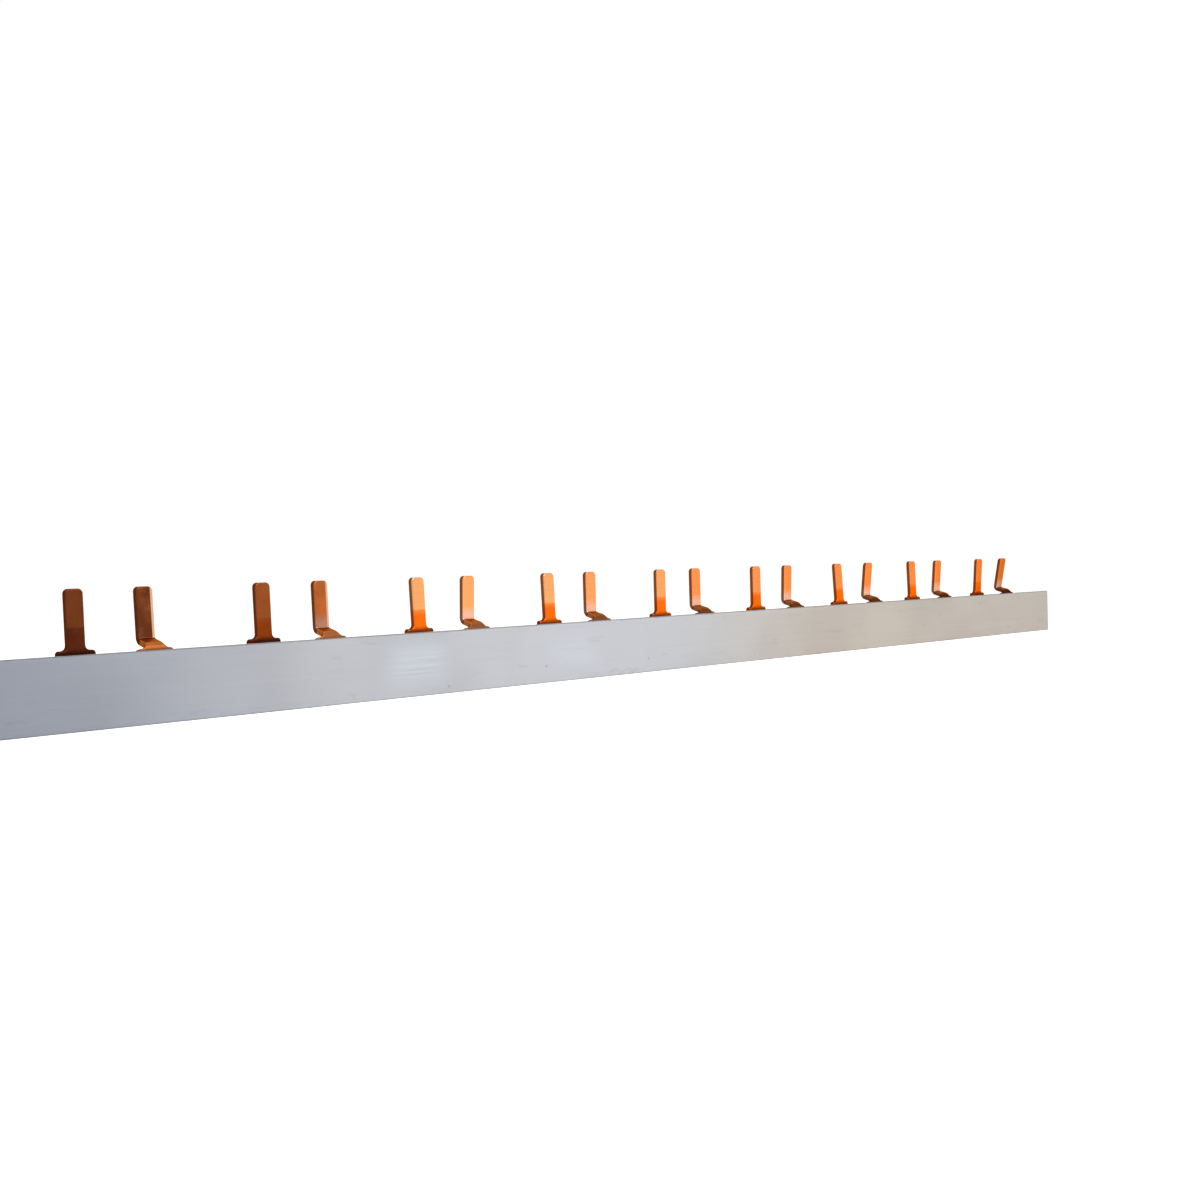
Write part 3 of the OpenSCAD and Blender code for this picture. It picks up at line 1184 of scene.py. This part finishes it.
@dataclass
class Comb:
    """One pole: a strip with a row of pins, stamped from one sheet."""

    pole: Pole
    first: float
    leans: tuple[float, ...]
    tarnish: tuple[float, ...]
    vivid: tuple[float, ...]
    # 1 on straight pins, which get the painted reflection line; 0 on bent pins.
    rubbed: tuple[float, ...]
    # Depth of the painted shade at each pin's foot and tab.
    shade_depth: tuple[float, ...]
    shoulder_rise: float
    flare: float
    roll_depth: float
    jogged: bool = False
    pitch: float = 50.8 * MM
    foot: float = 1.6 * MM
    strip_height: float = 10.0 * MM
    inset: float = 1.5 * MM
    wall_height: float = 17.4 * MM
    channel_centre: float = 2.016 * MM

    def blank(self) -> PinBlank:
        """Returns the comb's pin, sized from its node's box."""
        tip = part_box(self.pole.value)[1][2]
        plane = -self.channel_centre if self.jogged else self.channel_centre
        path = SheetPath(plane, self.wall_height, 2 * self.channel_centre if self.jogged else 0.0)
        return PinBlank(
            path, self.foot, self.foot + self.strip_height, self.wall_height + self.shoulder_rise,
            path.length_to(tip), flare_radius=self.flare, roll_depth=self.roll_depth,
        )

    def build(self, finish: bpy.types.Material) -> bpy.types.Object:
        """Builds the comb in place of its node.

        Args:
            finish: Its material.

        Returns:
            The piece.
        """
        low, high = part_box(self.pole.value)
        blank = self.blank()
        xs = [low[0] + self.first - self.inset + self.pitch * i for i in range(len(self.leans))]
        cuts = [low[0]] + [c for x in xs for c in (x - blank.stub, x + blank.stub)] + [high[0]]
        pin = new_object("pin", blank.mesh("pin"))
        strip = new_object("strip", blank.link_mesh("strip", cuts))
        host = new_object("pin_row", mesh_of("pin_row", [(x, 0, 0) for x in xs]))
        notes = {
            "lean": self.leans,
            "tarnish": self.tarnish,
            "vivid": self.vivid,
            "rubbed": self.rubbed,
            "shade_depth": self.shade_depth,
        }
        for label, values in notes.items():
            host.data.attributes.new(label, "FLOAT", "POINT").data.foreach_set("value", values)
        pivot = blank.path.top_bend_height if self.jogged else blank.shoulder
        pins_on_strip_tree().apply_to(
            host,
            {
                "Pin": pin,
                "Strip": strip,
                "Bend Height": pivot,
                "Tip Height": high[2],
                "Weld": 1e-6,
                "Material": finish
            },
        )
        piece = plain_mesh(host, self.pole.value + "_sheet", sharp=60)
        for spare in (pin, strip):
            bpy.data.objects.remove(spare)
        return ride(piece, self.pole.value)


def ride(piece: bpy.types.Object, node: str) -> bpy.types.Object:
    """Stands a finished piece in for its node and reports it.

    Args:
        piece: The piece.
        node: The node that it replaces.

    Returns:
        The piece.
    """
    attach(piece, "root")
    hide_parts(node)
    log.info("%s: %d faces, stands for %s", piece.name, len(piece.data.polygons), node)
    return piece


# ---------------------------------------------------------------------------------------------
# The studio
# ---------------------------------------------------------------------------------------------


@dataclass(frozen=True)
class Lamp:
    """A soft, flat lamp."""

    name: str
    place: Colour
    aim: Colour
    size: Flat
    power: float
    colour: Colour = (1.0, 1.0, 1.0)

    def build(self) -> None:
        """Hangs the lamp."""
        data = bpy.data.lights.new(self.name, "AREA")
        data.shape = "RECTANGLE"
        data.size, data.size_y = self.size
        data.energy = self.power
        data.color = self.colour
        made = bpy.data.objects.new(self.name, data)
        made.location = self.place
        made.rotation_euler = (Vector(self.aim) - Vector(self.place)).to_track_quat("-Z", "Y").to_euler()
        made.visible_camera = False
        bpy.context.scene.collection.objects.link(made)


@dataclass
class Studio:
    """A white floor and background, soft lamps and the camera."""

    camera_place: Colour = (-0.38299, -0.32437, 0.03444)
    camera_azimuth: float = 46.34
    camera_tilt: float = -1.33
    camera_roll: float = -1.61
    lens: float = 45.3
    floor_radius: float = 7.0
    floor_colour: Colour = (0.82, 0.82, 0.82)
    floor_glow: float = 0.7
    ambient: float = 0.4
    lamps: list[Lamp] = field(default_factory=lambda: [
        Lamp("key", (-0.06, -0.42, 0.4), (-0.06, 0.0, 0.0), (0.4, 0.4), 2.1),
        Lamp("window", (1.05, -0.75, 0.3), (0.0, 0.0, 0.02), (1.2, 0.6), 0.8, (1.0, 0.96, 0.9)),
        Lamp("overhead", (0.0, 0.15, 0.9), (0.0, 0.0, 0.0), (0.9, 0.5), 1.3),
    ])

    @staticmethod
    def seen_directly(nodes: Shading) -> bpy.types.NodeSocket:
        """Returns 1 for rays that show the background: from the camera, or through gloss or glass."""
        rays = nodes.node("ShaderNodeLightPath").outputs
        shown = nodes.math("MAXIMUM", rays["Is Camera Ray"], rays["Is Glossy Ray"])
        return nodes.math("MAXIMUM", shown, rays["Is Transmission Ray"])

    def build(self) -> None:
        """Builds the floor, the background, the lamps and the camera."""
        self.build_world()
        self.build_floor()
        for lamp in self.lamps:
            lamp.build()
        self.build_camera()
        view = bpy.context.scene.view_settings
        view.view_transform = "Standard"

    def build_world(self) -> None:
        """Makes a white background with a plain soft light from all around."""
        world = bpy.data.worlds.new("studio")
        bpy.context.scene.world = world
        world.use_nodes = True
        nodes = Shading(world.node_tree)
        world.node_tree.nodes.clear()
        shown = nodes.node("ShaderNodeBackground", {"Color": (1, 1, 1, 1), "Strength": 1.0})
        light = nodes.node("ShaderNodeBackground", {"Color": (1, 1, 1, 1), "Strength": self.ambient})
        both = nodes.node(
            "ShaderNodeMixShader", {0: self.seen_directly(nodes), 1: light.outputs[0], 2: shown.outputs[0]}
        )
        nodes.node("ShaderNodeOutputWorld", {"Surface": both.outputs[0]})

    def build_floor(self) -> None:
        """Lays a round white floor that keeps a soft shadow."""
        rim = arc((0.0, 0.0), self.floor_radius, 0, 360, 96)[:-1]
        floor = new_object("floor", mesh_of("floor", [(x, y, 0) for x, y in rim], faces=[range(len(rim))]))
        paint = bpy.data.materials.new("floor_paint")
        paint.use_nodes = True
        nodes = Shading(paint.node_tree)
        shader = paint.node_tree.nodes["Principled BSDF"]
        shader.inputs["Base Color"].default_value = (*self.floor_colour, 1.0)
        shader.inputs["Roughness"].default_value = 0.9
        shader.inputs["Specular IOR Level"].default_value = 0.0
        shader.inputs["Emission Color"].default_value = (1, 1, 1, 1)
        glow = nodes.math("MULTIPLY", self.seen_directly(nodes), self.floor_glow)
        paint.node_tree.links.new(glow, shader.inputs["Emission Strength"])
        floor.data.materials.append(paint)

    def build_camera(self) -> None:
        """Sets the camera at eye level with the pins, beside the bar's near end."""
        azimuth, tilt, roll = (
            math.radians(a) for a in (self.camera_azimuth, self.camera_tilt, self.camera_roll)
        )
        ahead = Vector(
            (math.sin(azimuth) * math.cos(tilt), math.cos(azimuth) * math.cos(tilt), math.sin(tilt))
        )
        level = Vector((math.cos(azimuth), -math.sin(azimuth), 0.0))
        upright = level.cross(ahead)
        right = level * math.cos(roll) + upright * math.sin(roll)
        up = right.cross(ahead)
        data = bpy.data.cameras.new("camera")
        data.lens = self.lens
        data.sensor_width = 36.0
        data.clip_start = 0.01
        made = bpy.data.objects.new("camera", data)
        made.matrix_world = Matrix.Translation(self.camera_place) @ Matrix(
            (right, up, -ahead)
        ).transposed().to_4x4()
        bpy.context.scene.collection.objects.link(made)
        bpy.context.scene.camera = made


def combs() -> list[Comb]:
    """Gives the two poles, with how each pin has been bent and tarnished, whether it gets the painted
    reflection line of straight pins, and how deep its painted shade is.
    """
    return [
        Comb(
            Pole.REAR, first=25.0 * MM,
            leans=tuple(v * MM for v in (0.4, 0.5, 0.7, 0.6, 0.0, 0.0, 0.8, 0.4, -1.0)),
            tarnish=(0.98, 0.8, 0.0, 0.0, 0.0, 0.0, 0.0, 0.0, 0.0),
            vivid=(1.0, 1.0, 0.0, 0.0, 0.2, 0.6, 0.75, 0.8, 1.0),
            rubbed=(1.0,) * 9,
            shade_depth=(1.0, 0.9, 0.4, 0.2, 0.2, 0.2, 0.3, 0.4, 0.7),
            shoulder_rise=0.8 * MM, flare=1.2 * MM, roll_depth=0.02 * MM,
        ),
        Comb(
            Pole.FRONT, first=42.8 * MM,
            leans=tuple(v * MM for v in (0.6, 0.4, -0.5, 0.0, 0.0, -0.5, -1.3, -1.0, -2.3)),
            tarnish=(0.96, 0.62, 0.0, 0.0, 0.0, 0.0, 0.0, 0.0, 0.3),
            vivid=(1.0, 1.0, 0.25, 0.3, 0.7, 0.75, 0.9, 0.9, 1.0),
            rubbed=(0.0,) * 9,
            shade_depth=(0.0, 0.0, 0.15, 0.35, 0.55, 0.65, 0.8, 0.9, 1.0),
            shoulder_rise=0.3 * MM, flare=1.4 * MM, roll_depth=0.07 * MM, jogged=True,
        ),
    ]


def main() -> None:
    """Builds every piece and the studio."""
    logging.basicConfig(level=logging.INFO, format="%(name)s: %(message)s")
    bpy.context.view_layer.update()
    lines, marks = drawn_lines(), handling_marks()
    Cover().build(ExtrudedPlastic().material(lines, marks))
    copper = TarnishedCopper().material(lines, marks)
    for comb in combs():
        comb.build(copper)
    Studio().build()


if __name__ == "__main__":
    main()
